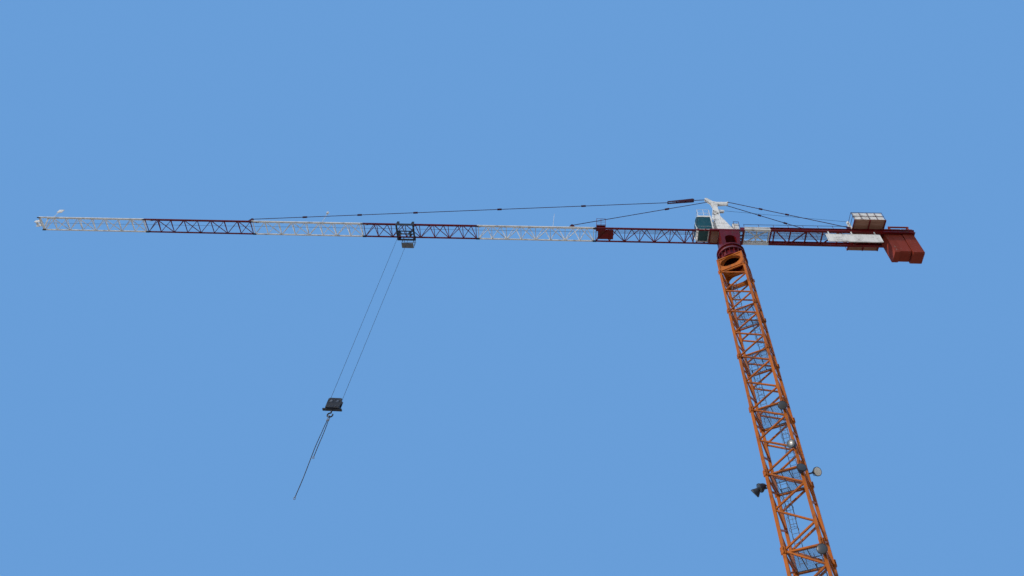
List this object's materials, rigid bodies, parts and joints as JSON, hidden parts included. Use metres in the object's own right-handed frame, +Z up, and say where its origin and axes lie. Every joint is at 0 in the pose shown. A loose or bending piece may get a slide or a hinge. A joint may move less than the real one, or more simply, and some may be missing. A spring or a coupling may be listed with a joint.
{
  "type": "tower crane, 1:10 scale model",
  "caption": "Saddle-jib tower crane with lattice mast, turning jib and counter-jib, trolley, hook block, cab and counterweight.",
  "frame": {"origin": "on the mast's axis, at the flat underside of the base cross", "axes": "+Z up, -X along the jib towards its tip at rest, -Y the side that the picture sees"},
  "size_m": [7.621, 0.4574, 6.3688],
  "materials": {
    "mast_paint": "worn orange-yellow paint",
    "red_paint": "dull dark red paint",
    "white_paint": "chalky white paint",
    "galvanised": "galvanised steel",
    "dark_steel": "greasy dark steel",
    "cab_glass": "tinted glass",
    "planks": "weathered planks",
    "ballast_paint": "brown-red coating"
  },
  "bodies": {
    "mast": {"base_cross": "mast_paint", "mast_side_front": "mast_paint", "mast_side_right": "mast_paint", "mast_side_back": "mast_paint", "mast_side_left": "mast_paint", "slewing_support": "mast_paint", "ring_lower": "galvanised", "mast_ladder": "galvanised", "rest_platforms": "galvanised", "floodlights": "dark_steel"},
    "upperworks": {"ring_upper": "red_paint", "turntable": "red_paint", "cab_shell": "white_paint", "cab_glass": "cab_glass", "tower_head": "white_paint", "outer_tie": "red_paint", "inner_tie": "red_paint", "jib_section_1": "red_paint", "jib_section_2": "white_paint", "jib_section_3": "red_paint", "jib_section_4": "white_paint", "jib_section_5": "red_paint", "jib_section_6": "white_paint", "jib_tip": "white_paint", "trolley_winch": "red_paint", "running_ropes": "dark_steel", "jib_lamps": "white_paint", "counter_jib_root": "white_paint", "counter_jib": "red_paint", "walkway_gratings": "galvanised", "handrails": "red_paint", "counter_ties": "red_paint", "name_board": "white_paint", "plank_floors": "planks", "hoist_winch": "white_paint", "ballast": "ballast_paint"},
    "trolley": {"trolley_frame": "dark_steel", "trolley_wheels": "galvanised", "trolley_basket": "galvanised", "hoist_falls": "dark_steel"},
    "hook_block": {"hook_block": "dark_steel", "block_sheaves": "galvanised"},
    "hook": {"hook": "dark_steel", "sling_fittings": "galvanised", "sling_long": "galvanised", "sling_short": "galvanised"}
  },
  "joints": [
    {"name": "slew", "type": "hinge", "parent": "mast", "child": "upperworks", "pos_m": [0, 0, 5.4096], "axis": [0, 0, 1], "continuous": true},
    {"name": "trolley_travel", "type": "slide", "parent": "upperworks", "child": "trolley", "axis": [-1, 0, 0], "range_m": [-2.25, 3.2]},
    {"name": "hoist", "type": "slide", "parent": "trolley", "child": "hook_block", "axis": [0, 0, 1], "range_m": [-2.6, 1.95], "deforming": ["hoist_falls"]},
    {"name": "hook_swivel", "type": "hinge", "parent": "hook_block", "child": "hook", "pos_m": [-2.707, 0, 3.5058], "axis": [0, 0, 1], "continuous": true}
  ]
}
